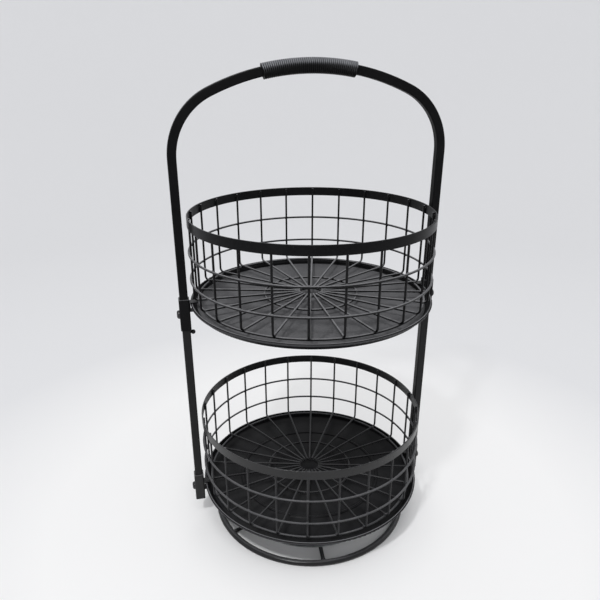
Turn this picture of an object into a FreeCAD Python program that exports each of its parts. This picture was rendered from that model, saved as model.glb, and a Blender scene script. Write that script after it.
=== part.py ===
import FreeCAD, Part
import math
import os

import Sketcher

# Two round wire baskets, one above the other, each over a shallow tray. An arched square-tube
# frame with a ribbed grip carries them by sleeves and brackets, and the whole rack turns on a
# ball race above a round-bar foot ring. Millimetres, +Z up, origin on the floor under the axis,
# the two legs along X.
doc = FreeCAD.newDocument("tiered_wire_basket")

SIZES = {
    "rim_radius": 145.0,
    "rim_height": 11.2,
    "rim_wall": 1.5,
    "rim_edge_round": 0.5,
    "upper_rim_top": 419.6,
    "lower_rim_top": 156.2,
    "wire_diameter": 2.6,
    "wire_count": 24,
    "wire_bend_radius": 5.0,
    "wire_top_drop": 1.5,
    "spoke_drop": 100.0,
    "high_ring_drop": 42.4,
    "low_ring_drop": 75.2,
    "mid_ring_radius": 57.0,
    "hub_ring_radius": 14.6,
    "weld_sink": 0.2,
    "tray_floor_drop": 110.5,
    "tray_sheet": 1.0,
    "tray_wall_run": 4.5,
    "lip_overhang": 0.9,
    "lip_drop": 104.9,
    "lip_bead": 3.4,
    "ridge_radius": 94.5,
    "ridge_width": 5.0,
    "ridge_slope": 1.2,
    "ridge_rise": 0.9,
    "tube_side": 10.0,
    "tube_wall": 1.2,
    "tube_corner": 1.4,
    "tube_bore_corner": 0.5,
    "tube_clearance": 0.1,
    "butt_gap": 0.5,
    "arch_height": 575.2,
    "crown_radius": 265.6,
    "shoulder_radius": 74.9,
    "grip_half_length": 51.7,
    "grip_shift": 3.0,
    "grip_thickness": 16.4,
    "grip_rib_depth": 0.7,
    "grip_corner": 6.6,
    "grip_rib_count": 48,
    "sleeve_wall": 1.2,
    "sleeve_corner": 1.5,
    "sleeve_edge_chamfer": 0.4,
    "sleeve_length": 40.0,
    "upper_sleeve_foot": 283.0,
    "lower_sleeve_foot": 29.0,
    "sleeve_butt_height": 12.0,
    "leg_end_inset": 2.0,
    "screw_shank": 6.0,
    "screw_clearance": 0.1,
    "screw_head": 10.4,
    "screw_head_height": 3.2,
    "screw_head_round": 2.6,
    "screw_socket": 4.0,
    "screw_socket_depth": 2.0,
    "screw_end_inset": 0.6,
    "pin_height": 279.0,
    "pin_diameter": 3.0,
    "pin_clearance": 0.05,
    "pin_ball": 5.6,
    "pin_ball_reach": 3.1,
    "pin_travel": 2.5,
    "pin_collar": 5.0,
    "pin_collar_length": 1.2,
    "pin_collar_gap": 0.3,
    "pin_tail": 0.8,
    "bracket_sheet": 1.0,
    "bracket_width": 10.0,
    "bracket_gap": 0.3,
    "bracket_shelf": 12.0,
    "foot_ring_radius": 129.3,
    "foot_bar": 7.6,
    "foot_flat": 0.4,
    "base_bar": 5.0,
    "base_bar_count": 6,
    "base_bar_height": 4.5,
    "base_bar_inner": 87.0,
    "base_bar_seat": 0.02,
    "base_turn": 24.0,
    "pedestal_sheet": 1.5,
    "pedestal_flange_radius": 107.0,
    "pedestal_foot_radius": 84.0,
    "pedestal_ledge": 1.0,
    "pedestal_top_radius": 78.0,
    "race_radius": 66.0,
    "race_half_width": 8.0,
    "race_thickness": 2.0,
    "ball_diameter": 6.0,
    "ball_count": 24,
    "ball_gap": 0.05,
    "race_gap": 3.7,
    "plate_radius": 75.0,
    "pivot_diameter": 8.0,
    "pivot_clearance": 0.08,
    "pivot_length": 11.0,
    "clip_radius": 8.0,
    "clip_thickness": 1.5,
    "clip_gap": 0.3,
}

# The tray lies under the rim, and each leg stands outside the tray's lip by a bracket.
SIZES["lip_radius"] = SIZES["rim_radius"] + SIZES["lip_overhang"]
SIZES["tray_base_radius"] = SIZES["lip_radius"] - SIZES["tray_wall_run"]
SIZES["leg_half_span"] = (
    SIZES["lip_radius"]
    + SIZES["lip_bead"] / 2
    + SIZES["bracket_gap"]
    + SIZES["bracket_sheet"]
    + SIZES["sleeve_wall"]
    + SIZES["tube_clearance"]
    + SIZES["tube_side"] / 2
)

sizes = doc.addObject("Spreadsheet::Sheet", "sizes")
for row, (alias, number) in enumerate(SIZES.items(), start=1):
    sizes.set(f"A{row}", alias)
    sizes.set(f"B{row}", str(round(number, 6)))
    sizes.setAlias(f"B{row}", alias)
doc.recompute()

subparts = []


def origin_feature(body, role):
    for feature in body.Origin.OriginFeatures:
        if feature.Role == role:
            return feature


def new_body(label):
    body = doc.addObject("PartDesign::Body", label)
    body.Label = label
    body.AllowCompound = True
    subparts.append(body)
    return body


def place(piece, x="0", z="0", turn="0"):
    """Binds where a sub-part stands and how far it is turned about the axis, in degrees."""
    piece.Placement = FreeCAD.Placement(FreeCAD.Vector(), FreeCAD.Rotation(FreeCAD.Vector(0, 0, 1), 0))
    piece.setExpression("Placement.Base.x", x)
    piece.setExpression("Placement.Base.z", z)
    piece.setExpression("Placement.Rotation.Angle", f"({turn}) * 1 deg")


def new_sketch(body, name, role, offset="0"):
    """A sketch on one of the body's own planes, lifted along the plane's normal by a size formula."""
    sketch = body.newObject("Sketcher::SketchObject", name)
    sketch.AttachmentSupport = [(origin_feature(body, role), "")]
    sketch.MapMode = "FlatFace"
    sketch.setExpression("AttachmentOffset.Base.z", offset)
    return sketch


def hold_size(sketch, constraint, formula):
    index = sketch.addConstraint(constraint)
    sketch.setExpression(f"Constraints[{index}]", formula)


def hold_point(sketch, line, end, across, up):
    """Holds a sketch point at two size formulas; one that starts with a minus lies left or below."""
    spot = sketch.getPoint(line, end)
    for kind, axis, formula, now in (("DistanceX", -2, across, spot.x), ("DistanceY", -1, up, spot.y)):
        if formula == "0":
            sketch.addConstraint(Sketcher.Constraint("PointOnObject", line, end, axis))
        elif formula.startswith("-"):
            hold_size(sketch, Sketcher.Constraint(kind, line, end, -1, 1, -now), formula[1:])
        else:
            hold_size(sketch, Sketcher.Constraint(kind, -1, 1, line, end, now), formula)


def outline(sketch, corners):
    """A closed outline of straight lines through corners that are pairs of size formulas."""
    count = len(corners)
    reach = sizes.rim_radius / 3
    ring = [math.tau * step / count for step in range(count)]
    rough = [FreeCAD.Vector(math.cos(turn) + 1.5, math.sin(turn) - 1.5, 0) * reach for turn in ring]
    for step in range(count):
        sketch.addGeometry(Part.LineSegment(rough[step], rough[(step + 1) % count]))
    for step in range(count):
        sketch.addConstraint(Sketcher.Constraint("Coincident", step, 2, (step + 1) % count, 1))
    for step, (across, up) in enumerate(corners):
        hold_point(sketch, step, 1, across, up)


def round_outline(sketch, across, up, radius):
    reach = sizes.rim_radius / 3
    rough = Part.Circle(FreeCAD.Vector(reach, -reach, 0), FreeCAD.Vector(0, 0, 1), sizes.tube_side)
    circle = sketch.addGeometry(rough)
    hold_size(sketch, Sketcher.Constraint("Radius", circle, sizes.tube_side), radius)
    hold_point(sketch, circle, 3, across, up)


def square_outline(sketch, half, corner, across="0"):
    """A square with round corners, its centre moved to the right by a size formula."""
    side = sizes.tube_side / 2
    bend = sizes.tube_corner / 2
    flat = side - bend
    first = sketch.GeometryCount
    for start, end in (
        ((-flat, -side), (flat, -side)),
        ((side, -flat), (side, flat)),
        ((flat, side), (-flat, side)),
        ((-side, flat), (-side, -flat)),
    ):
        sketch.addGeometry(Part.LineSegment(FreeCAD.Vector(*start, 0), FreeCAD.Vector(*end, 0)))
    for quarter, centre in enumerate(((flat, -flat), (flat, flat), (-flat, flat), (-flat, -flat))):
        circle = Part.Circle(FreeCAD.Vector(*centre, 0), FreeCAD.Vector(0, 0, 1), bend)
        turn = math.pi / 2 * (quarter + 3)
        sketch.addGeometry(Part.ArcOfCircle(circle, turn, turn + math.pi / 2))
    for quarter in range(4):
        line = first + quarter
        arc = first + 4 + quarter
        sketch.addConstraint(Sketcher.Constraint("Tangent", line, 2, arc, 1))
        sketch.addConstraint(Sketcher.Constraint("Tangent", arc, 2, first + (quarter + 1) % 4, 1))
        sketch.addConstraint(Sketcher.Constraint("Vertical" if quarter % 2 else "Horizontal", line))
        if quarter:
            sketch.addConstraint(Sketcher.Constraint("Equal", first + 4, arc))
    hold_size(sketch, Sketcher.Constraint("Radius", first + 4, bend), corner)
    hold_size(sketch, Sketcher.Constraint("DistanceX", first + 3, 1, first + 1, 1, 2 * side), f"2 * ({half})")
    hold_size(sketch, Sketcher.Constraint("DistanceY", first, 1, first + 2, 1, 2 * side), f"2 * ({half})")
    hold_size(sketch, Sketcher.Constraint("DistanceY", first, 1, -1, 1, side), half)
    if across.startswith("-"):
        edge = Sketcher.Constraint("DistanceX", first + 3, 1, -1, 1, side)
        hold_size(sketch, edge, f"{half} + {across[1:]}")
    else:
        edge = Sketcher.Constraint("DistanceX", -1, 1, first + 1, 1, side)
        hold_size(sketch, edge, f"{half} + {across}")


def revolve(body, name, sketch, kind="PartDesign::Revolution", axis="V_Axis"):
    feature = body.newObject(kind, name)
    feature.Profile = sketch
    feature.ReferenceAxis = (sketch, [axis])
    feature.Angle = 360
    return feature


def turned_body(label, corners, rim_top="0"):
    """A body of revolution about the axis, drawn from corners of radius and height below its rim."""
    body = new_body(label)
    place(body, z=rim_top)
    profile = new_sketch(body, f"{label}_profile", "XZ_Plane")
    outline(profile, corners)
    revolve(body, f"{label}_turned", profile)
    return body


def pad(body, name, sketch, length, symmetric=False):
    feature = body.newObject("PartDesign::Pad", name)
    feature.Profile = sketch
    feature.setExpression("Length", length)
    if symmetric:
        feature.SideType = "Symmetric"
    return feature


def around_axis(body, name, feature, count):
    """Repeats a feature evenly around the axis."""
    pattern = body.newObject("PartDesign::PolarPattern", name)
    pattern.Originals = [feature]
    pattern.Axis = (origin_feature(body, "Z_Axis"), [""])
    pattern.Angle = 360
    pattern.setExpression("Occurrences", count)
    body.Tip = pattern


def wire_ring(label, radius, bar, height):
    ring = doc.addObject("Part::Torus", label)
    ring.Label = label
    ring.setExpression("Radius1", radius)
    ring.setExpression("Radius2", f"{bar} / 2")
    place(ring, z=height)
    subparts.append(ring)


def cross_hole(body, name, height, diameter, to_one_side=False):
    """A round hole along X, right through or from the body's middle plane towards -X only."""
    mouth = new_sketch(body, f"{name}_outline", "YZ_Plane")
    round_outline(mouth, "0", height, f"({diameter}) / 2")
    hole = body.newObject("PartDesign::Pocket", name)
    hole.Profile = mouth
    hole.Type = "ThroughAll"
    if not to_one_side:
        hole.SideType = "Symmetric"


# Wire baskets: a flat rim band with the uprights inside it, two hoops around them, and spokes
# that run on from the bends to the middle over three rings.
upright_radius = "(sizes.rim_radius - sizes.rim_wall - sizes.wire_diameter / 2 + sizes.weld_sink)"
flat_radius = f"({upright_radius} - sizes.wire_bend_radius)"
bend_drop = "(sizes.spoke_drop - sizes.wire_bend_radius)"
hoop_radius = f"({upright_radius} + sizes.wire_diameter - sizes.weld_sink)"
under_ring_drop = "(sizes.spoke_drop + sizes.wire_diameter - sizes.weld_sink)"
spoke_inner_end = "(sizes.hub_ring_radius - sizes.wire_diameter / 2)"
tray_under_drop = "(sizes.tray_floor_drop + sizes.tray_sheet)"

for tier in ("upper", "lower"):
    rim_top = f"sizes.{tier}_rim_top"

    band = turned_body(
        f"{tier}_rim_band",
        (
            ("sizes.rim_radius - sizes.rim_wall", "0"),
            ("sizes.rim_radius", "0"),
            ("sizes.rim_radius", "-sizes.rim_height"),
            ("sizes.rim_radius - sizes.rim_wall", "-sizes.rim_height"),
        ),
        rim_top,
    )
    doc.recompute()
    square_band = band.Tip
    rounding = band.newObject("PartDesign::Fillet", f"{tier}_rim_rounding")
    rounding.Base = (square_band, [])
    rounding.UseAllEdges = True
    rounding.setExpression("Radius", "sizes.rim_edge_round")

    uprights = new_body(f"{tier}_uprights")
    place(uprights, z=rim_top)
    path = new_sketch(uprights, f"{tier}_upright_path", "XZ_Plane")
    rough_flat = sizes.rim_radius - sizes.wire_bend_radius
    rough_bend = sizes.wire_bend_radius - sizes.spoke_drop
    wire_top = FreeCAD.Vector(sizes.rim_radius, -sizes.wire_top_drop, 0)
    path.addGeometry(Part.LineSegment(wire_top, FreeCAD.Vector(sizes.rim_radius, rough_bend, 0)))
    bend_centre = FreeCAD.Vector(rough_flat, rough_bend, 0)
    bend = Part.Circle(bend_centre, FreeCAD.Vector(0, 0, 1), sizes.wire_bend_radius)
    path.addGeometry(Part.ArcOfCircle(bend, math.pi * 1.5, math.pi * 2))
    path.addConstraint(Sketcher.Constraint("Vertical", 0))
    path.addConstraint(Sketcher.Constraint("Tangent", 0, 2, 1, 2))
    hold_point(path, 0, 1, upright_radius, "-sizes.wire_top_drop")
    hold_point(path, 1, 3, flat_radius, f"-{bend_drop}")
    path.addConstraint(Sketcher.Constraint("Vertical", 1, 1, 1, 3))
    section = new_sketch(uprights, f"{tier}_upright_section", "XY_Plane", "-sizes.wire_top_drop")
    round_outline(section, upright_radius, "0", "sizes.wire_diameter / 2")
    wire = uprights.newObject("PartDesign::AdditivePipe", f"{tier}_upright")
    wire.Profile = section
    wire.Spine = path
    around_axis(uprights, f"{tier}_upright_set", wire, "sizes.wire_count")

    spokes = new_body(f"{tier}_floor_spokes")
    place(spokes, z=rim_top)
    spoke_end = new_sketch(spokes, f"{tier}_spoke_section", "YZ_Plane", spoke_inner_end)
    round_outline(spoke_end, "0", "-sizes.spoke_drop", "sizes.wire_diameter / 2")
    spoke = pad(spokes, f"{tier}_spoke", spoke_end, f"{flat_radius} - {spoke_inner_end}")
    around_axis(spokes, f"{tier}_spoke_set", spoke, "sizes.wire_count")

    for name, radius, drop in (
        ("high_hoop", hoop_radius, "sizes.high_ring_drop"),
        ("low_hoop", hoop_radius, "sizes.low_ring_drop"),
        ("floor_ring", flat_radius, under_ring_drop),
        ("mid_ring", "sizes.mid_ring_radius", under_ring_drop),
        ("hub_ring", "sizes.hub_ring_radius", under_ring_drop),
    ):
        wire_ring(f"{tier}_{name}", radius, "sizes.wire_diameter", f"{rim_top} - {drop}")

# Trays: a sheet dish with a rolled bead at its lip; the lower one has a pressed ridge.
ridge_out = "(sizes.ridge_radius + sizes.ridge_width / 2)"
ridge_in = "(sizes.ridge_radius - sizes.ridge_width / 2)"
ridge_floor = (
    (ridge_in, "0"),
    (f"({ridge_in} + sizes.ridge_slope)", "sizes.ridge_rise"),
    (f"({ridge_out} - sizes.ridge_slope)", "sizes.ridge_rise"),
    (ridge_out, "0"),
)
for tier, ridge in (("upper", ()), ("lower", ridge_floor)):
    under = [(radius, f"-({tray_under_drop} - {rise})") for radius, rise in ridge]
    floor = [(radius, f"-(sizes.tray_floor_drop - {rise})") for radius, rise in reversed(ridge)]
    tray = turned_body(
        f"{tier}_tray",
        (
            ("0", f"-{tray_under_drop}"),
            *under,
            ("sizes.tray_base_radius", f"-{tray_under_drop}"),
            ("sizes.lip_radius + sizes.tray_sheet / 2", "-sizes.lip_drop"),
            ("sizes.lip_radius - sizes.tray_sheet / 2", "-sizes.lip_drop"),
            ("sizes.tray_base_radius - sizes.tray_sheet", "-sizes.tray_floor_drop"),
            *floor,
            ("0", "-sizes.tray_floor_drop"),
        ),
        f"sizes.{tier}_rim_top",
    )
    bead = new_sketch(tray, f"{tier}_lip_section", "XZ_Plane")
    round_outline(bead, "sizes.lip_radius", "-sizes.lip_drop", "sizes.lip_bead / 2")
    revolve(tray, f"{tier}_lip_bead", bead)

# Arched handle: one square tube bent over the baskets, its legs ending inside the upper sleeves.
tube_half = "sizes.tube_side / 2"
tube_bore = "(sizes.tube_side / 2 - sizes.tube_wall)"
arch_foot = "(sizes.upper_sleeve_foot + sizes.sleeve_butt_height + sizes.butt_gap)"
upper_screw_height = "(sizes.upper_sleeve_foot + sizes.sleeve_length / 2)"
lower_screw_height = "(sizes.lower_sleeve_foot + sizes.sleeve_length / 2)"
screw_hole = "(sizes.screw_shank + 2 * sizes.screw_clearance)"

arch = new_body("arch_handle")
place(arch)
path = new_sketch(arch, "arch_path", "XZ_Plane")
rough_span = sizes.leg_half_span
rough_centre = rough_span - sizes.shoulder_radius
rough_lean = math.asin(rough_centre / (sizes.crown_radius - sizes.shoulder_radius))
rough_crown = sizes.arch_height - sizes.crown_radius
rough_shoulder = rough_crown + (sizes.crown_radius - sizes.shoulder_radius) * math.cos(rough_lean)
leg_start = FreeCAD.Vector(-rough_span, sizes.upper_sleeve_foot, 0)
path.addGeometry(Part.LineSegment(leg_start, FreeCAD.Vector(-rough_span, rough_shoulder, 0)))
for centre, radius, start, end in (
    ((-rough_centre, rough_shoulder), sizes.shoulder_radius, math.pi / 2 + rough_lean, math.pi),
    ((0, rough_crown), sizes.crown_radius, math.pi / 2 - rough_lean, math.pi / 2 + rough_lean),
    ((rough_centre, rough_shoulder), sizes.shoulder_radius, 0, math.pi / 2 - rough_lean),
):
    circle = Part.Circle(FreeCAD.Vector(*centre, 0), FreeCAD.Vector(0, 0, 1), radius)
    path.addGeometry(Part.ArcOfCircle(circle, start, end))
leg_end = FreeCAD.Vector(rough_span, sizes.upper_sleeve_foot, 0)
path.addGeometry(Part.LineSegment(FreeCAD.Vector(rough_span, rough_shoulder, 0), leg_end))
for first, first_end, second, second_end in ((0, 2, 1, 2), (1, 1, 2, 2), (2, 1, 3, 2), (3, 1, 4, 1)):
    path.addConstraint(Sketcher.Constraint("Tangent", first, first_end, second, second_end))
path.addConstraint(Sketcher.Constraint("Vertical", 0))
path.addConstraint(Sketcher.Constraint("Vertical", 4))
hold_size(path, Sketcher.Constraint("Radius", 1, sizes.shoulder_radius), "sizes.shoulder_radius")
hold_size(path, Sketcher.Constraint("Radius", 2, sizes.crown_radius), "sizes.crown_radius")
hold_size(path, Sketcher.Constraint("Radius", 3, sizes.shoulder_radius), "sizes.shoulder_radius")
hold_point(path, 0, 1, "-sizes.leg_half_span", arch_foot)
hold_point(path, 4, 2, "sizes.leg_half_span", arch_foot)
hold_point(path, 2, 3, "0", "sizes.arch_height - sizes.crown_radius")
for name, kind, half, corner in (
    ("arch_outside", "PartDesign::AdditivePipe", tube_half, "sizes.tube_corner"),
    ("arch_bore", "PartDesign::SubtractivePipe", tube_bore, "sizes.tube_bore_corner"),
):
    section = new_sketch(arch, f"{name}_section", "XY_Plane", arch_foot)
    square_outline(section, half, corner, "-sizes.leg_half_span")
    pipe = arch.newObject(kind, name)
    pipe.Profile = section
    pipe.Spine = path
    doc.recompute()
cross_hole(arch, "arch_screw_hole", upper_screw_height, screw_hole)

# Grip: a soft sleeve over the crown of the arch, pushed a little to the left, with narrow ribs
# across it.
crown_centre = FreeCAD.Vector(0, 0, sizes.arch_height - sizes.crown_radius)
across_arch = FreeCAD.Vector(0, 1, 0)
rib_count = int(sizes.grip_rib_count)
grip_turn = math.asin(sizes.grip_half_length / sizes.crown_radius)
grip_start = -grip_turn - math.asin(sizes.grip_shift / sizes.crown_radius)
rib_pitch = 2 * grip_turn / rib_count
crest_half = sizes.grip_thickness / 2
valley_half = crest_half - sizes.grip_rib_depth


def grip_section(turn, half, corner):
    """A square with round corners across the crown of the arch, turn radians along it."""
    flat = half - corner
    bulge = flat + corner * math.sqrt(0.5)
    edges = []
    for quarter in range(4):
        square = FreeCAD.Rotation(FreeCAD.Vector(0, 0, 1), 90 * quarter)
        corners = ((half, -flat), (half, flat), (bulge, bulge), (flat, half))
        start, middle, over, end = [square.multVec(FreeCAD.Vector(*spot, 0)) for spot in corners]
        edges.append(Part.LineSegment(start, middle).toShape())
        edges.append(Part.Arc(middle, over, end).toShape())
    section = Part.Wire(edges)
    section.translate(FreeCAD.Vector(sizes.crown_radius, 0, 0))
    section.rotate(FreeCAD.Vector(), across_arch, math.degrees(turn) - 90)
    section.translate(crown_centre)
    return section


grip_sections = []
for rib in range(rib_count):
    for share, half in ((0.0, valley_half), (0.3, crest_half), (0.6, crest_half), (0.9, valley_half)):
        corner = sizes.grip_corner - crest_half + half
        grip_sections.append(grip_section(grip_start + rib_pitch * (rib + share), half, corner))
valley_corner = sizes.grip_corner - sizes.grip_rib_depth
grip_sections.append(grip_section(grip_start + 2 * grip_turn, valley_half, valley_corner))
bore_half = sizes.tube_side / 2 + sizes.tube_clearance
bore_face = Part.Face(grip_section(grip_start, bore_half, sizes.tube_corner))
grip_bore = bore_face.revolve(crown_centre, across_arch, math.degrees(2 * grip_turn))
grip = doc.addObject("Part::Feature", "handle_grip")
grip.Label = "handle_grip"
grip.Shape = Part.makeLoft(grip_sections, True, True).cut(grip_bore)
grip.Placement = FreeCAD.Placement()
subparts.append(grip)

# Legs and sleeves: straight square tubes below the arch, joined to it and to the lower tray by
# wider square sleeves, each with a button-head screw from outside. Local +X points outwards.
sleeve_bore = "(sizes.tube_side / 2 + sizes.tube_clearance)"
sleeve_half = f"({sleeve_bore} + sizes.sleeve_wall)"
sleeve_inner_face = f"(sizes.leg_half_span - {sleeve_half})"
leg_foot = "(sizes.lower_sleeve_foot + sizes.leg_end_inset)"
leg_length = f"(sizes.upper_sleeve_foot + sizes.sleeve_butt_height - {leg_foot})"
shank_length = f"(2 * {sleeve_half} - sizes.screw_end_inset)"
collar_front = "(sizes.tube_wall + sizes.pin_collar_gap + sizes.pin_travel)"
collar_back = f"({collar_front} + sizes.pin_collar_length)"
pin_end = f"({collar_back} + sizes.pin_tail)"
tongue_end = f"({flat_radius} + sizes.wire_diameter / 2 + sizes.bracket_gap)"
tongue_drop = "(sizes.spoke_drop + sizes.wire_diameter / 2 - 2 * sizes.weld_sink)"
tongue_under = f"({tongue_drop} + sizes.bracket_sheet)"
shelf_end = "(sizes.tray_base_radius - sizes.bracket_shelf)"
shelf_under = f"({tray_under_drop} + sizes.bracket_sheet)"
web_face = f"({sleeve_inner_face} - sizes.bracket_sheet)"

for side, sign, turn, turn_inwards in (("right", "", "0", "180"), ("left", "-", "180", "0")):
    leg = new_body(f"{side}_leg_tube")
    place(leg, f"{sign}sizes.leg_half_span", leg_foot, turn)
    section = new_sketch(leg, f"{side}_leg_section", "XY_Plane")
    square_outline(section, tube_half, "sizes.tube_corner")
    square_outline(section, tube_bore, "sizes.tube_bore_corner")
    pad(leg, f"{side}_leg", section, leg_length)
    cross_hole(leg, f"{side}_leg_screw_hole", f"{lower_screw_height} - {leg_foot}", screw_hole)
    pin_hole = "sizes.pin_diameter + 2 * sizes.pin_clearance"
    cross_hole(leg, f"{side}_leg_pin_hole", f"sizes.pin_height - {leg_foot}", pin_hole, to_one_side=True)

    for tier, screw_height in (("upper", upper_screw_height), ("lower", lower_screw_height)):
        where = f"{tier}_{side}"
        sleeve = new_body(f"{where}_sleeve")
        place(sleeve, f"{sign}sizes.leg_half_span", f"sizes.{tier}_sleeve_foot", turn)
        section = new_sketch(sleeve, f"{where}_sleeve_section", "XY_Plane")
        square_outline(section, sleeve_half, "sizes.sleeve_corner")
        square_outline(section, sleeve_bore, "sizes.tube_corner")
        tube = pad(sleeve, f"{where}_sleeve_tube", section, "sizes.sleeve_length")
        doc.recompute()
        bore_half = sizes.tube_side / 2 + sizes.tube_clearance
        mouth_edges = []
        for number, edge in enumerate(tube.Shape.Edges, start=1):
            box = edge.BoundBox
            outside = max(-box.XMin, box.XMax, -box.YMin, box.YMax) > bore_half + 1e-6
            if outside and box.ZLength < 1e-6:
                mouth_edges.append(f"Edge{number}")
        mouths = sleeve.newObject("PartDesign::Chamfer", f"{where}_sleeve_mouths")
        mouths.Base = (tube, mouth_edges)
        mouths.setExpression("Size", "sizes.sleeve_edge_chamfer")
        cross_hole(sleeve, f"{where}_sleeve_hole", "sizes.sleeve_length / 2", screw_hole)

        screw = new_body(f"{where}_screw")
        place(screw, f"{sign}(sizes.leg_half_span + {sleeve_half})", screw_height, turn)
        profile = new_sketch(screw, f"{where}_screw_profile", "XZ_Plane")
        outline(
            profile,
            (
                (f"-{shank_length}", "0"),
                (f"-{shank_length}", "sizes.screw_shank / 2"),
                ("0", "sizes.screw_shank / 2"),
                ("0", "sizes.screw_head / 2"),
                ("sizes.screw_head_height", "sizes.screw_head / 2"),
                ("sizes.screw_head_height", "0"),
            ),
        )
        blank = revolve(screw, f"{where}_screw_blank", profile, axis="H_Axis")
        doc.recompute()
        crown_edges = []
        for number, edge in enumerate(blank.Shape.Edges, start=1):
            if abs(edge.BoundBox.XMin - sizes.screw_head_height) < 1e-6:
                crown_edges.append(f"Edge{number}")
        button = screw.newObject("PartDesign::Fillet", f"{where}_screw_button")
        button.Base = (blank, crown_edges)
        button.setExpression("Radius", "sizes.screw_head_round")
        socket = new_sketch(screw, f"{where}_screw_socket_outline", "YZ_Plane", "sizes.screw_head_height")
        reach = "sizes.screw_socket / sqrt(3)"
        flank = "sizes.screw_socket / 2"
        tip = "sizes.screw_socket / sqrt(12)"
        outline(
            socket,
            (
                ("0", reach),
                (f"-{flank}", tip),
                (f"-{flank}", f"-{tip}"),
                ("0", f"-{reach}"),
                (flank, f"-{tip}"),
                (flank, tip),
            ),
        )
        recess = screw.newObject("PartDesign::Pocket", f"{where}_screw_socket")
        recess.Profile = socket
        recess.setExpression("Length", "sizes.screw_socket_depth")

        bracket = new_body(f"{where}_bracket")
        place(bracket, z=f"sizes.{tier}_rim_top", turn=turn)
        profile = new_sketch(bracket, f"{where}_bracket_profile", "XZ_Plane")
        outline(
            profile,
            (
                (tongue_end, f"-{tongue_drop}"),
                (sleeve_inner_face, f"-{tongue_drop}"),
                (sleeve_inner_face, f"-{shelf_under}"),
                (shelf_end, f"-{shelf_under}"),
                (shelf_end, f"-{tray_under_drop}"),
                (web_face, f"-{tray_under_drop}"),
                (web_face, f"-{tongue_under}"),
                (tongue_end, f"-{tongue_under}"),
            ),
        )
        pad(bracket, f"{where}_bracket_strip", profile, "sizes.bracket_width", symmetric=True)

    # Catch pin: a ball-ended pin that pulls out of the leg just below the upper sleeve, with a
    # collar inside the tube. Local +X points to the axis, from the tube's inner face.
    pin = new_body(f"{side}_catch_pin")
    place(pin, f"{sign}(sizes.leg_half_span - sizes.tube_side / 2)", "sizes.pin_height", turn_inwards)
    profile = new_sketch(pin, f"{side}_catch_pin_profile", "XZ_Plane")
    outline(
        profile,
        (
            (f"-{pin_end}", "0"),
            (f"-{pin_end}", "sizes.pin_diameter / 2"),
            (f"-{collar_back}", "sizes.pin_diameter / 2"),
            (f"-{collar_back}", "sizes.pin_collar / 2"),
            (f"-{collar_front}", "sizes.pin_collar / 2"),
            (f"-{collar_front}", "sizes.pin_diameter / 2"),
            ("sizes.pin_ball_reach", "sizes.pin_diameter / 2"),
            ("sizes.pin_ball_reach", "0"),
        ),
    )
    revolve(pin, f"{side}_catch_pin_shank", profile, axis="H_Axis")
    ball = pin.newObject("PartDesign::AdditiveSphere", f"{side}_catch_pin_ball")
    ball.setExpression("Radius", "sizes.pin_ball / 2")
    ball.setExpression("Placement.Base.x", "sizes.pin_ball_reach")

# Foot: a ring of round bar, a little flat underneath, with six bars running in under the pedestal.
foot_ring = new_body("foot_ring")
place(foot_ring)
foot_axis_height = "sizes.foot_bar / 2 - sizes.foot_flat"
section = new_sketch(foot_ring, "foot_ring_section", "XZ_Plane")
round_outline(section, "sizes.foot_ring_radius", foot_axis_height, "sizes.foot_bar / 2")
revolve(foot_ring, "foot_ring_bar", section)
doc.recompute()
section = new_sketch(foot_ring, "foot_flat_section", "XZ_Plane")
outline(
    section,
    (
        ("sizes.foot_ring_radius - sizes.foot_bar", "0"),
        ("sizes.foot_ring_radius + sizes.foot_bar", "0"),
        ("sizes.foot_ring_radius + sizes.foot_bar", "-sizes.foot_bar"),
        ("sizes.foot_ring_radius - sizes.foot_bar", "-sizes.foot_bar"),
    ),
)
revolve(foot_ring, "foot_flat", section, "PartDesign::Groove")

base_bars = new_body("base_bars")
place(base_bars, turn="sizes.base_turn")
section = new_sketch(base_bars, "base_bar_section", "YZ_Plane", "sizes.base_bar_inner")
round_outline(section, "0", "sizes.base_bar_height", "sizes.base_bar / 2")
bar = pad(base_bars, "base_bar", section, "sizes.foot_ring_radius - sizes.base_bar_inner")
around_axis(base_bars, "base_bar_set", bar, "sizes.base_bar_count")
doc.recompute()
section = new_sketch(base_bars, "base_bar_seat_section", "XZ_Plane")
round_outline(section, "sizes.foot_ring_radius", foot_axis_height, "sizes.foot_bar / 2 + sizes.base_bar_seat")
revolve(base_bars, "base_bar_seats", section, "PartDesign::Groove")

# Turntable: a flat flange on the bars, a coned pedestal on the flange, a ball race on that, and a
# plate under the lower tray whose pivot runs through the pedestal and is held by a clip.
flange_under = "(sizes.base_bar_height + sizes.base_bar / 2)"
plate_top = f"(sizes.lower_rim_top - {tray_under_drop})"
plate_under = f"({plate_top} - sizes.race_thickness)"
race_top = f"({plate_under} - sizes.race_gap)"
race_under = f"({race_top} - sizes.race_thickness)"
ball_height = f"({race_top} + sizes.race_gap / 2)"
pedestal_under = f"({race_under} - sizes.pedestal_sheet)"
clip_top = f"({pedestal_under} - sizes.clip_gap)"
pivot_bore = "(sizes.pivot_diameter / 2 + sizes.pivot_clearance)"
flange_top = f"({flange_under} + sizes.pedestal_sheet)"
flange_inner = "(sizes.pedestal_foot_radius - sizes.pedestal_sheet - sizes.pedestal_ledge)"
clip_bore = "sizes.pivot_diameter / 2 + sizes.ball_gap"

turned_body(
    "pedestal_flange",
    (
        ("sizes.pedestal_flange_radius", flange_under),
        ("sizes.pedestal_flange_radius", flange_top),
        (flange_inner, flange_top),
        (flange_inner, flange_under),
    ),
)

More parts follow.
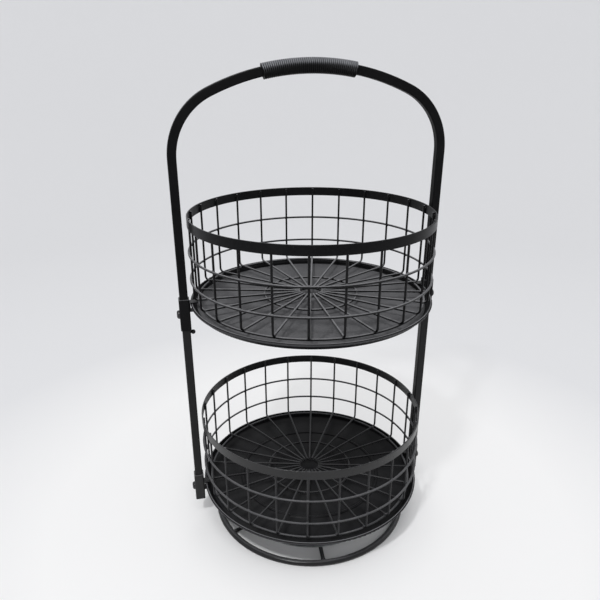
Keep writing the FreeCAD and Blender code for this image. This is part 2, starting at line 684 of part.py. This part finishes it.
turned_body(
    "turntable_pedestal",
    (
        ("sizes.pedestal_foot_radius", flange_top),
        ("sizes.pedestal_top_radius", race_under),
        (pivot_bore, race_under),
        (pivot_bore, pedestal_under),
        ("sizes.pedestal_top_radius - sizes.pedestal_sheet", pedestal_under),
        ("sizes.pedestal_foot_radius - sizes.pedestal_sheet", flange_top),
    ),
)

lower_race = turned_body(
    "lower_race",
    (
        ("sizes.race_radius - sizes.race_half_width", race_under),
        ("sizes.race_radius + sizes.race_half_width", race_under),
        ("sizes.race_radius + sizes.race_half_width", race_top),
        ("sizes.race_radius - sizes.race_half_width", race_top),
    ),
)

balls = new_body("race_balls")
place(balls)
ball = balls.newObject("PartDesign::AdditiveSphere", "race_ball")
ball.setExpression("Radius", "sizes.ball_diameter / 2")
ball.setExpression("Placement.Base.x", "sizes.race_radius")
ball.setExpression("Placement.Base.z", ball_height)
around_axis(balls, "race_ball_set", ball, "sizes.ball_count")

plate = turned_body(
    "turntable_plate",
    (
        ("0", plate_top),
        ("sizes.plate_radius", plate_top),
        ("sizes.plate_radius", plate_under),
        ("sizes.pivot_diameter / 2", plate_under),
        ("sizes.pivot_diameter / 2", f"{plate_under} - sizes.pivot_length"),
        ("0", f"{plate_under} - sizes.pivot_length"),
    ),
)
doc.recompute()
for race, gap in ((lower_race, "sizes.ball_gap"), (plate, "2 * sizes.ball_gap")):
    section = new_sketch(race, f"{race.Label}_groove_section", "XZ_Plane")
    round_outline(section, "sizes.race_radius", ball_height, f"sizes.ball_diameter / 2 + {gap}")
    revolve(race, f"{race.Label}_groove", section, "PartDesign::Groove")

turned_body(
    "pivot_clip",
    (
        (clip_bore, clip_top),
        ("sizes.clip_radius", clip_top),
        ("sizes.clip_radius", f"{clip_top} - sizes.clip_thickness"),
        (clip_bore, f"{clip_top} - sizes.clip_thickness"),
    ),
)

# Every object has to be sound before anything is written.
doc.recompute()
for piece in doc.Objects:
    if "Invalid" in piece.State or "Error" in piece.State:
        raise RuntimeError(f"{piece.Label}: {piece.State}")
for piece in subparts:
    if piece.Shape.isNull() or not piece.Shape.isValid() or not piece.Shape.Solids:
        raise RuntimeError(f"{piece.Label} has no sound solid")

os.makedirs("parts", exist_ok=True)
for piece in subparts:
    piece.Shape.exportStep(f"parts/{piece.Label}.step")
    print(piece.Label, len(piece.Shape.Solids), round(piece.Shape.Volume, 1))
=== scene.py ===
import math

import bpy
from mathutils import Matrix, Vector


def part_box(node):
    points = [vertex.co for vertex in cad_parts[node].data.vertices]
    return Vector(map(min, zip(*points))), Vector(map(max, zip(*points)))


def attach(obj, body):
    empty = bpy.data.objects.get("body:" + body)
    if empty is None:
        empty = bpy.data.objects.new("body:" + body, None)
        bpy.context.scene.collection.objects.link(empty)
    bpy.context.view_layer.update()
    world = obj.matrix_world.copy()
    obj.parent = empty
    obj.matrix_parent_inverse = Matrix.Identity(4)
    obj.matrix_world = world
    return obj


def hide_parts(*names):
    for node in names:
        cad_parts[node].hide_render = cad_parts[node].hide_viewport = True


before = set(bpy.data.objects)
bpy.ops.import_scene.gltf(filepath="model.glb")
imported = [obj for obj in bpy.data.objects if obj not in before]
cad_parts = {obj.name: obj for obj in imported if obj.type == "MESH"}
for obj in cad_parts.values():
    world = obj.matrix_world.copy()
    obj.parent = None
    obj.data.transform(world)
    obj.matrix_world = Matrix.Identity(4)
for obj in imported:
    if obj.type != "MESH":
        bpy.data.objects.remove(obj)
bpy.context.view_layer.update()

# Foot ring and base bars: a hoop of round mild-steel bar, flat underneath, with six short bars that
# run in under the turntable. The bars are coped and welded to the hoop, and the whole foot is then
# powder coated black.


class Level:
    """A socket in a finish's nodes: arithmetic on it adds Math nodes, and node() adds any other."""

    def __init__(self, tree, socket=None):
        self.tree = tree
        self.socket = socket

    def node(self, kind, settings, sockets, output=0):
        made = self.tree.nodes.new(kind)
        for name, setting in settings.items():
            setattr(made, name, setting)
        for key, value in sockets.items():
            if isinstance(value, Level):
                self.tree.links.new(value.socket, made.inputs[key])
            else:
                made.inputs[key].default_value = value
        return Level(self.tree, made.outputs[output])

    def math(self, operation, first, second):
        return self.node("ShaderNodeMath", {"operation": operation}, {0: first, 1: second})

    def __add__(self, other):
        return self.math("ADD", self, other)

    def __sub__(self, other):
        return self.math("SUBTRACT", self, other)

    def __rsub__(self, other):
        return self.math("SUBTRACT", other, self)

    def __mul__(self, other):
        return self.math("MULTIPLY", self, other)

    __radd__ = __add__
    __rmul__ = __mul__

    def noise(self, scale, detail, rough):
        sockets = {"Vector": self, "Scale": scale, "Detail": detail, "Roughness": rough}
        return self.node("ShaderNodeTexNoise", {"noise_dimensions": "3D"}, sockets)

    def along(self, axis):
        """This vector's part along x, y or z, numbered from 0."""
        return self.node("ShaderNodeSeparateXYZ", {}, {0: self}, axis)

    def length(self):
        return self.node("ShaderNodeVectorMath", {"operation": "LENGTH"}, {0: self}, "Value")

    def between(self, low, high):
        """This value as a share of the way from low to high, held inside 0 and 1."""
        return self.node("ShaderNodeMapRange", {"clamp": True}, {0: self, 1: low, 2: high})

    def tint(self, dark, light):
        """The colour this far from dark to light, either of which may vary over the surface."""
        # A Mix node's two colours are its inputs 6 and 7, and the mixed colour is its output 2.
        ends = [tone if isinstance(tone, Level) else (*tone, 1.0) for tone in (dark, light)]
        return self.node("ShaderNodeMix", {"data_type": "RGBA"}, {0: self, 6: ends[0], 7: ends[1]}, 2)

    def feed(self, shader, socket):
        self.tree.links.new(self.socket, shader.inputs[socket])

    def emboss(self, shader, strength, depth):
        """Raises the shader's surface by this height, as a bump."""
        sockets = {"Strength": strength, "Distance": depth, "Height": self}
        self.node("ShaderNodeBump", {}, sockets).feed(shader, "Normal")


def new_finish(name):
    """A new material, its shader and the place on the piece that its patterns follow."""
    finish = bpy.data.materials.new(name)
    finish.use_nodes = True
    tree = finish.node_tree
    spot = Level(tree).node("ShaderNodeTexCoord", {}, {}, "Object")
    return finish, tree.nodes["Principled BSDF"], spot


def dress(nodes, finish):
    for node in nodes:
        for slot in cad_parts[node].material_slots:
            slot.material = finish


# The colour of the pale tops: dust, and a painted highlight.
dust_and_highlight_grey = (0.46, 0.46, 0.48)
peel_depth = 0.00025


def powder_coat(name, black, grey, gloss, shine, peel, dust_and_highlight, steep=0.3, mask_change=None):
    """Black powder coat with a fine orange peel, a little cloudy, and paler on faces that look up: dust,
    and a painted highlight.

    The pale share lies on faces that look up by more than steep, and mask_change changes where it lies."""
    finish, shader, spot = new_finish(name)
    cloud = spot.noise(scale=26.0, detail=3.0, rough=0.6)
    speck = spot.noise(scale=420.0, detail=2.0, rough=0.6)
    grain = spot.noise(scale=1500.0, detail=1.0, rough=0.5)
    upward = spot.node("ShaderNodeNewGeometry", {}, {}, "Normal").along(2).between(steep, 0.95)
    patches = speck.between(0.3, 0.7) * 0.3 + cloud.between(0.3, 0.7) * 0.3 + 0.7
    # Upward faces are painted paler: partly dust, partly a painted highlight where light falls from
    # above.
    dust_and_highlight_mask = upward * patches * dust_and_highlight
    if mask_change:
        dust_and_highlight_mask = mask_change(spot, dust_and_highlight_mask)
    share = cloud.between(0.32, 0.68) * 0.6 + speck.between(0.3, 0.7) * 0.4
    dust_and_highlight_mask.tint(share.tint(black, grey), dust_and_highlight_grey).feed(shader, "Base Color")
    roughness = gloss + (cloud - 0.5) * 0.1 + (speck - 0.5) * 0.08 + dust_and_highlight_mask * 0.3
    roughness.feed(shader, "Roughness")
    (grain * 0.55 + speck * 0.45).emboss(shader, peel, peel_depth)
    shader.inputs["Specular IOR Level"].default_value = shine
    return finish


# The hoop's top is painted pale: dust, and a painted highlight along the top of the bar.
foot_coat = powder_coat(
    "foot_coat",
    black=(0.003, 0.003, 0.0035),
    grey=(0.008, 0.008, 0.009),
    gloss=0.30,
    shine=0.36,
    peel=0.3,
    dust_and_highlight=0.16,
    steep=0.8,
)
dress(["foot_ring", "base_bars"], foot_coat)

soft_edge_angle = 0.9


def start_welds(name):
    """An empty mesh piece, open in edit mode for weld drops to be added to it."""
    bpy.ops.object.select_all(action="DESELECT")
    bpy.ops.mesh.primitive_plane_add(size=0.001)
    piece = bpy.context.object
    piece.name = name
    bpy.ops.object.mode_set(mode="EDIT")
    bpy.ops.mesh.delete(type="VERT")
    return piece


def weld_drop(place, half, turn=0.0):
    """A soft-edged drop of weld metal at a place, with its half sizes, turned about the upright axis."""
    bpy.ops.mesh.select_all(action="DESELECT")
    bpy.ops.mesh.primitive_cube_add(size=2.0, location=place, rotation=(0, 0, turn), scale=half)
    bpy.ops.mesh.bevel(offset_type="PERCENT", offset_pct=38, segments=2, affect="EDGES")


def spread_round(count):
    """Copies what is selected evenly round the upright axis."""
    turn = math.tau * (count - 1) / count
    bpy.ops.mesh.spin(steps=count - 1, dupli=True, angle=turn, center=(0, 0, 0), axis=(0, 0, 1))


def end_welds(piece, body, finish):
    """Leaves edit mode and makes the welds part of the object: shaded, coated and riding on a body."""
    bpy.ops.mesh.select_all(action="SELECT")
    bpy.ops.mesh.normals_make_consistent(inside=False)
    bpy.ops.object.mode_set(mode="OBJECT")
    bpy.ops.object.transform_apply(location=True, rotation=True, scale=True)
    bpy.ops.object.shade_smooth_by_angle(angle=soft_edge_angle)
    piece.data.materials.append(finish)
    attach(piece, body)


foot_bar = 0.0076
bar_count = 6
bar_turn = math.radians(24.0)
foot_weld_half = (0.0013, 0.0031, 0.0029)
foot_weld_inset = 0.0003
foot_weld_sag = 0.0001
bars_low, bars_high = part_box("base_bars")
seat_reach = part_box("foot_ring")[1].x - foot_bar - foot_weld_inset
seat_height = (bars_low.z + bars_high.z) / 2 - foot_weld_sag
seat = (seat_reach * math.cos(bar_turn), seat_reach * math.sin(bar_turn), seat_height)
foot_welds = start_welds("foot_welds")
weld_drop(seat, foot_weld_half, bar_turn)
spread_round(bar_count)
end_welds(foot_welds, "base", foot_coat)

# Turntable: a flat flange and a coned pedestal pressed from zinc-plated sheet, a ring of steel balls
# in a rolled race, and a plate whose pivot is held under the pedestal by a spring clip.


def zinc_plate():
    finish, shader, spot = new_finish("turntable_zinc")
    cloud = spot.noise(scale=18.0, detail=3.0, rough=0.55)
    scratch = spot.noise(scale=700.0, detail=3.0, rough=0.7)
    cells = {"Vector": spot, "Scale": 150.0}
    crystal = spot.node("ShaderNodeTexVoronoi", {"feature": "F1"}, cells, "Distance")
    share = crystal.between(0.1, 0.75) * 0.5 + cloud.between(0.35, 0.65) * 0.5
    share.tint((0.36, 0.37, 0.38), (0.62, 0.63, 0.64)).feed(shader, "Base Color")
    (0.34 + cloud * 0.14 + scratch * 0.1).feed(shader, "Roughness")
    (scratch * 0.6 + crystal * 0.4).emboss(shader, strength=0.15, depth=0.0002)
    shader.inputs["Metallic"].default_value = 0.85
    return finish


def race_metal():
    finish, shader, spot = new_finish("race_metal")
    track = spot.noise(scale=90.0, detail=3.0, rough=0.6)
    grease = spot.noise(scale=30.0, detail=2.0, rough=0.5)
    track.between(0.3, 0.7).tint((0.34, 0.34, 0.35), (0.56, 0.56, 0.57)).feed(shader, "Base Color")
    (0.14 + grease * 0.22).feed(shader, "Roughness")
    shader.inputs["Metallic"].default_value = 1.0
    return finish


dress(["pedestal_flange", "turntable_pedestal", "turntable_plate"], zinc_plate())
dress(["lower_race", "race_balls", "pivot_clip"], race_metal())

# Trays: two shallow dishes spun from steel sheet with a rolled lip, the lower one with a pressed ridge.
# Dust and a painted highlight lie on the floor under the wires and end short of the lip, leaving a
# painted shade in the gutter; the lip's crest and outer edge carry painted highlight lines.
# The lower tray gets darker colours and far less pale top than the upper one: painted shade, where the
# upper tray shades it. The upper tray's pale floor is dust and a painted highlight.
tray_black = {"lower": (0.003, 0.003, 0.0036), "upper": (0.006, 0.006, 0.0065)}
tray_grey = {"lower": (0.009, 0.009, 0.010), "upper": (0.016, 0.016, 0.017)}
tray_shine = {"lower": 0.06, "upper": 0.02}
tray_dust_and_highlight = {"lower": 0.015, "upper": 0.20}
lip_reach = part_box("lower_tray")[1].x
gutter_shade_start = lip_reach - 0.0085
gutter_shade_fade = 0.001
crest_start = lip_reach - 0.0023
crest_end = lip_reach - 0.0013
edge_start = lip_reach - 0.0004
highlight_fade = 0.0002
crest_highlight = 0.4
edge_highlight = 0.1


def lip_shade_and_highlight(spot, dust_and_highlight_mask):
    """The tray's dust and painted highlight, stopped short of the lip as a painted shade in the gutter,
    and painted highlight lines on the lip's crest and outer edge.
    """
    flat = spot.node("ShaderNodeVectorMath", {"operation": "MULTIPLY"}, {0: spot, 1: (1, 1, 0)})
    reach = flat.length()
    # Near the lip the pale share is cut away, a painted shade in the gutter; the crest and outer edge
    # lines are painted highlights.
    outside_gutter_shade = 1 - reach.between(gutter_shade_start, gutter_shade_start + gutter_shade_fade)
    inside_crest = 1 - reach.between(crest_end, crest_end + highlight_fade)
    crest = reach.between(crest_start, crest_start + highlight_fade) * inside_crest
    edge = reach.between(edge_start, edge_start + highlight_fade)
    return dust_and_highlight_mask * outside_gutter_shade + crest * crest_highlight + edge * edge_highlight


for tier in ("lower", "upper"):
    tray_coat = powder_coat(
        f"{tier}_tray_coat",
        tray_black[tier],
        tray_grey[tier],
        gloss=0.34,
        shine=tray_shine[tier],
        peel=0.4,
        dust_and_highlight=tray_dust_and_highlight[tier],
        steep=0.85,
        mask_change=lip_shade_and_highlight,
    )
    dress([f"{tier}_tray"], tray_coat)

# Baskets: each has a flat rim strap, 24 bent wires and five wire hoops, spot welded where they
# cross, and is coated in one piece, so that every crossing has a soft upset collar of weld.
basket_black = (0.0025, 0.0025, 0.003)
basket_grey = (0.007, 0.007, 0.0075)
wire_look = {"gloss": 0.29, "shine": 0.16, "peel": 0.1}
# The wires' pale tops are dust and a painted highlight. The lower basket's spokes get less, a painted
# shade under the upper tray, and its uprights are paled on their sides too, a painted highlight.
wire_dust_and_highlight = {"lower": 0.22, "upper": 0.34}
wire_steep = {"lower": -0.3, "upper": 0.3}
spoke_dust_and_highlight = {"lower": 0.09, "upper": 0.34}
# The straps' top edges are painted pale: dust and a painted highlight.
strap_look = {"gloss": 0.30, "peel": 0.3, "dust_and_highlight": 0.08}
strap_shine = {"lower": 0.46, "upper": 0.11}
wire_count = 24
wire_thickness = 0.0026
strap_thickness = 0.0015
strap_weld_inset = 0.0002
strap_weld_half = (0.0007, 0.0018, 0.0026)
hoop_weld_half = (0.0010, 0.0018, 0.0018)
ring_weld_half = (0.0018, 0.0018, 0.0010)
hub_weld_half = (0.0017, 0.0015, 0.0009)
ring_weld_halves = {"floor_ring": ring_weld_half, "mid_ring": ring_weld_half, "hub_ring": hub_weld_half}
for tier in ("lower", "upper"):
    wire_coat = powder_coat(
        f"{tier}_wire_coat",
        basket_black,
        basket_grey,
        **wire_look,
        dust_and_highlight=wire_dust_and_highlight[tier],
        steep=wire_steep[tier],
    )
    dress([f"{tier}_{wire}" for wire in ("uprights", "high_hoop", "low_hoop", "floor_ring")], wire_coat)
    spoke_coat = powder_coat(
        f"{tier}_spoke_coat", basket_black, basket_grey, **wire_look, dust_and_highlight=spoke_dust_and_highlight[tier]
    )
    dress([f"{tier}_{wire}" for wire in ("floor_spokes", "mid_ring", "hub_ring")], spoke_coat)
    strap_coat = powder_coat(
        f"{tier}_strap_coat", basket_black, basket_grey, **strap_look, shine=strap_shine[tier]
    )
    dress([f"{tier}_rim_band"], strap_coat)

    welds = start_welds(f"{tier}_wire_welds")
    low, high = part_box(f"{tier}_rim_band")
    strap_weld_reach = high.x - strap_thickness - strap_weld_inset
    weld_drop((strap_weld_reach, 0, (low.z + high.z) / 2), strap_weld_half)
    spread_round(wire_count)
    uprights_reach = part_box(f"{tier}_uprights")[1].x
    for hoop in ("high_hoop", "low_hoop"):
        low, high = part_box(f"{tier}_{hoop}")
        hoop_weld_reach = (uprights_reach + high.x - wire_thickness) / 2
        weld_drop((hoop_weld_reach, 0, (low.z + high.z) / 2), hoop_weld_half)
        spread_round(wire_count)
    spokes_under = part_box(f"{tier}_floor_spokes")[0].z
    for ring, half in ring_weld_halves.items():
        low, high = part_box(f"{tier}_{ring}")
        weld_drop((high.x - wire_thickness / 2, 0, (high.z + spokes_under) / 2), half)
        spread_round(wire_count)
    end_welds(welds, "rack", wire_coat)

# Legs, sleeves and brackets: square steel tubes joined end to end inside wider square sleeves. A
# folded bracket is welded to the inner face of each sleeve and carries the tray and the basket.
tube_black = (0.0022, 0.0022, 0.0026)
tube_grey = (0.006, 0.006, 0.0066)
# Upward faces of the legs and brackets get a little dust and painted highlight; the sleeves get more, a
# painted highlight along their top edges.
leg_coat = powder_coat("leg_coat", tube_black, tube_grey, gloss=0.44, shine=0.28, peel=0.3, dust_and_highlight=0.03)
dress(["left_leg_tube", "right_leg_tube"], leg_coat)
sleeve_look = {"gloss": 0.40, "peel": 0.3, "dust_and_highlight": 0.15}
sleeve_shine = {"lower": 0.42, "upper": 0.1}
bead_half = (0.0006, 0.0007, 0.0012)
bead_inset = 0.0003
bead_start = 0.0013
bead_step = 0.0018
bead_count = 6
sleeves = []
for tier in ("lower", "upper"):
    sleeve_coat = powder_coat(
        f"{tier}_sleeve_coat", tube_black, tube_grey, **sleeve_look, shine=sleeve_shine[tier]
    )
    for side in ("left", "right"):
        where = f"{tier}_{side}"
        sleeves.append(where)
        dress([f"{where}_sleeve"], sleeve_coat)
        dress([f"{where}_bracket"], leg_coat)
        low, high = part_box(f"{where}_bracket")
        seam = low.x + bead_inset if side == "left" else high.x - bead_inset
        beads = start_welds(f"{where}_weld_beads")
        for edge in (low.y, high.y):
            for bead in range(bead_count):
                height = low.z + bead_start + bead_step * bead
                weld_drop((seam, edge, height), bead_half)
        end_welds(beads, "rack", sleeve_coat)

# Screws: button heads with a hex socket, one driven into each sleeve from outside. They are steel
# with a black-oxide finish, which is unevenly dark.


def black_oxide():
    finish, shader, spot = new_finish("black_oxide")
    bloom = spot.noise(scale=260.0, detail=3.0, rough=0.6)
    rub = spot.noise(scale=900.0, detail=2.0, rough=0.6)
    bloom.between(0.3, 0.7).tint((0.018, 0.018, 0.020), (0.055, 0.054, 0.055)).feed(shader, "Base Color")
    (0.24 + rub * 0.22).feed(shader, "Roughness")
    rub.emboss(shader, strength=0.2, depth=0.0001)
    shader.inputs["Metallic"].default_value = 0.7
    return finish


screw_finish = black_oxide()
dress([f"{where}_screw" for where in sleeves], screw_finish)

# Catch pins: turned steel pins with a ball end, blackened like the screws, that spring out of the
# legs just below the upper sleeves.
dress(["left_catch_pin", "right_catch_pin"], screw_finish)

# Arched handle: one length of the same square tube, bent to a low crown with round shoulders and
# coated black; its ends stand inside the upper sleeves.
# A little dust and painted highlight lies on the arch's upward faces.
arch_coat = powder_coat("arch_coat", tube_black, tube_grey, gloss=0.44, shine=0.09, peel=0.3, dust_and_highlight=0.03)
dress(["arch_handle"], arch_coat)

# Grip: a moulded rubber sleeve pushed over the crown of the arch, a little left of the middle. Narrow
# ribs run round it; their crests are painted pale on top, a painted highlight where light falls from
# above, and the grooves between stay dull.
arch_height = 0.5752
crown_radius = 0.2656
crown_centre = arch_height - crown_radius
grip_half_length = 0.0517
grip_shift = 0.003
grip_half_turn = math.asin(grip_half_length / crown_radius)
grip_start = -grip_half_turn - math.asin(grip_shift / crown_radius)
grip_side = 0.0164
grip_corner = 0.0066
corner_steps = 8
grip_wall = 0.0031
bore_margin = 0.0005
merge_distance = 1e-6
rib_count = 48
rib_depths = (0.0008, 0.00028, 0.00006, 0.0, 0.0, 0.0, 0.00006, 0.00028)
rib_steps = len(rib_depths)
rib_turn = 2 * grip_half_turn / rib_count
grip_end = (
    crown_radius * math.sin(grip_start),
    0,
    crown_centre + crown_radius * math.cos(grip_start),
)

bpy.ops.object.select_all(action="DESELECT")
bpy.ops.mesh.primitive_plane_add(
    size=grip_side, location=grip_end, rotation=(0, math.pi / 2 + grip_start, 0)
)
grip = bpy.context.object
grip.name = "ribbed_grip"
bpy.ops.object.transform_apply(location=True, rotation=True, scale=True)
bpy.ops.object.mode_set(mode="EDIT")
bpy.ops.mesh.select_all(action="SELECT")
bpy.ops.mesh.bevel(offset=grip_corner, segments=corner_steps, affect="VERTICES")
bpy.ops.mesh.select_all(action="SELECT")
bpy.ops.mesh.inset(thickness=grip_wall)
bpy.ops.mesh.delete(type="FACE")
bpy.ops.mesh.select_all(action="SELECT")
bpy.ops.mesh.spin(
    steps=rib_count * rib_steps,
    angle=2 * grip_half_turn,
    center=(0, 0, crown_centre),
    axis=(0, -1, 0),
)
bpy.ops.mesh.select_all(action="SELECT")
bpy.ops.mesh.remove_doubles(threshold=merge_distance)
bpy.ops.mesh.normals_make_consistent(inside=False)
bpy.ops.mesh.select_mode(type="VERT")
bore_reach = grip_side / 2 - grip_wall + bore_margin
for place, depth in enumerate(rib_depths):
    if not depth:
        continue
    bpy.ops.mesh.select_all(action="DESELECT")
    bpy.ops.object.mode_set(mode="OBJECT")
    for vertex in grip.data.vertices:
        x, y, z = vertex.co
        z -= crown_centre
        step = round((math.atan2(x, z) - grip_start) / rib_turn * rib_steps)
        outside = max(abs(math.hypot(x, z) - crown_radius), abs(y)) > bore_reach
        vertex.select = outside and step % rib_steps == place
    bpy.ops.object.mode_set(mode="EDIT")
    bpy.ops.transform.shrink_fatten(value=-depth)
bpy.ops.object.mode_set(mode="OBJECT")
bpy.ops.object.shade_smooth_by_angle(angle=soft_edge_angle)


def grip_rubber():
    finish, shader, spot = new_finish("grip_rubber")
    turn = spot.math("ARCTAN2", spot.along(0), spot.along(2) - crown_centre)
    ribs = (turn - grip_start) * (1 / rib_turn)
    crest = spot.math("PINGPONG", ribs, 0.5).between(0.06, 0.2)
    bloom = spot.noise(scale=60.0, detail=3.0, rough=0.6)
    pore = spot.noise(scale=1300.0, detail=2.0, rough=0.6)
    lit_top = spot.node("ShaderNodeNewGeometry", {}, {}, "Normal").along(2).between(0.0, 0.35)
    highlight_patchiness = bloom.between(0.3, 0.7) * 0.25 + pore.between(0.4, 0.7) * 0.15 + 0.6
    # Crests that face up are painted pale: a painted highlight, patchy with the bloom and pores.
    top_highlight = (crest * 0.85 + 0.15) * lit_top * highlight_patchiness
    top_highlight.tint((0.0015, 0.0015, 0.0018), (0.20, 0.205, 0.22)).feed(shader, "Base Color")
    (0.7 - crest * 0.34 + bloom * 0.08 + pore * 0.04).feed(shader, "Roughness")
    pore.emboss(shader, strength=0.3, depth=0.0002)
    shader.inputs["Specular IOR Level"].default_value = 0.2
    return finish


grip.data.materials.append(grip_rubber())
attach(grip, "rack")
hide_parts("handle_grip")

# Studio: a pale round sweep whose floor curves up into a wall on every side, under an even sky. Four
# square lamps stand round it: a small bright one high on the front left, which throws the shadow, a
# soft one overhead, a weak one behind and a broad weak one on the right.
sweep_radius = 1.5
sweep_bend = 0.9
sweep_sides = 128
sweep_steps = 12
step_turn = math.pi / 2 / sweep_steps
bpy.ops.object.select_all(action="DESELECT")
bpy.ops.mesh.primitive_circle_add(vertices=sweep_sides, radius=sweep_radius, fill_type="NGON")
sweep = bpy.context.object
sweep.name = "sweep"
bpy.ops.object.mode_set(mode="EDIT")
bpy.ops.mesh.select_mode(type="EDGE")
bpy.ops.mesh.select_all(action="SELECT")
wall_reach = sweep_radius
for step in range(1, sweep_steps + 1):
    turn = step_turn * step
    rise = sweep_bend * (math.cos(turn - step_turn) - math.cos(turn))
    wider = sweep_radius + sweep_bend * math.sin(turn)
    growth = wider / wall_reach
    bpy.ops.mesh.extrude_edges_move(TRANSFORM_OT_translate={"value": (0, 0, rise)})
    bpy.ops.transform.resize(value=(growth, growth, 1), center_override=(0, 0, 0))
    wall_reach = wider
bpy.ops.object.mode_set(mode="OBJECT")
bpy.ops.object.shade_smooth()

floor_tone = (0.92, 0.92, 0.925)
# The walls are painted darker than the floor, most of all at the front: painted shade, standing in for
# the unlit room in front and the dimmer backdrop behind.
front_wall_painted_shade = (0.58, 0.58, 0.59)
back_wall_painted_shade = (0.78, 0.785, 0.805)
sweep_paint, paint, spot = new_finish("sweep_paint")
distance = spot.length()
wall_painted_shade = spot.along(1).between(-1.8, -0.8).tint(front_wall_painted_shade, back_wall_painted_shade)
shade = distance.between(0.36, 0.62).tint(floor_tone, wall_painted_shade)
shade.feed(paint, "Base Color")
paint.inputs["Roughness"].default_value = 0.9
paint.inputs["Specular IOR Level"].default_value = 0.2


def seen(place):
    """Whether a ray shows a surface itself, straight or mirrored, and isn't lighting another one."""
    rays = ("Is Camera Ray", "Is Glossy Ray", "Is Transmission Ray")
    camera, glossy, through = [place.node("ShaderNodeLightPath", {}, {}, ray) for ray in rays]
    return (camera + glossy + through).between(0.0, 1.0)


# A veil of the paint's own colour lies over the lit sweep where it is seen. It is thin under the
# object, so that the shadow there stays, and thicker further out.
veil = distance.between(0.125, 0.2) * 0.55 + 0.05
glow = spot.node("ShaderNodeEmission", {}, {"Color": shade})
lit = Level(sweep_paint.node_tree, paint.outputs["BSDF"])
cover = spot.node("ShaderNodeMixShader", {}, {0: seen(spot) * veil, 1: lit, 2: glow})
cover.feed(sweep_paint.node_tree.nodes["Material Output"], "Surface")
sweep.data.materials.append(sweep_paint)

sky_strength = 0.5
seen_sky_strength = 0.76
sky = bpy.data.worlds.new("sky")
sky.use_nodes = True
sky_light = sky.node_tree.nodes["Background"]
sky_light.inputs["Color"].default_value = (0.97, 0.98, 1.0, 1.0)
air = Level(sky.node_tree).node("ShaderNodeTexCoord", {}, {}, "Generated")
behind = air.along(1).between(-0.8, 0.0)
strength = seen(air) * behind * (seen_sky_strength - sky_strength) + sky_strength
strength.feed(sky_light, "Strength")
bpy.context.scene.world = sky


def square_lamp(name, place, aim, side, power):
    lamp = bpy.data.lights.new(name, "AREA")
    lamp.shape = "SQUARE"
    lamp.size = side
    lamp.energy = power
    holder = bpy.data.objects.new(name, lamp)
    bpy.context.scene.collection.objects.link(holder)
    away = [there - here for here, there in zip(place, aim)]
    flat = math.hypot(away[0], away[1])
    holder.location = place
    holder.rotation_euler = (math.atan2(flat, -away[2]), 0, math.atan2(-away[0], away[1]))


square_lamp("overhead_lamp", place=(-0.1, -0.75, 1.9), aim=(0, 0, 0.3), side=0.6, power=5.0)
square_lamp("front_left_lamp", place=(-0.8, -1.0, 2.02), aim=(0, 0, 0.2), side=0.16, power=21.0)
square_lamp("back_lamp", place=(0.1, 1.25, 1.35), aim=(0, 0, 0.25), side=0.6, power=2.0)
square_lamp("right_lamp", place=(1.4, -0.3, 1.2), aim=(0, 0, 0.2), side=1.6, power=3.5)

# Camera: a view from the front, a little to the left, from about the grip's height and looking down,
# with the object framed as it is in the photograph.
lens = bpy.data.cameras.new("camera")
lens.sensor_width = 36.0
lens.lens = 34.936
lens.shift_x = 0.01126
lens.shift_y = 0.03591
lens.clip_start = 0.01
camera = bpy.data.objects.new("camera", lens)
bpy.context.scene.collection.objects.link(camera)
camera.location = (-0.16775, -0.65606, 0.57385)
camera.rotation_euler = [math.radians(turn) for turn in (66.3667, 0.2914, -12.6243)]
bpy.context.scene.camera = camera
bpy.context.scene.view_settings.view_transform = "Standard"
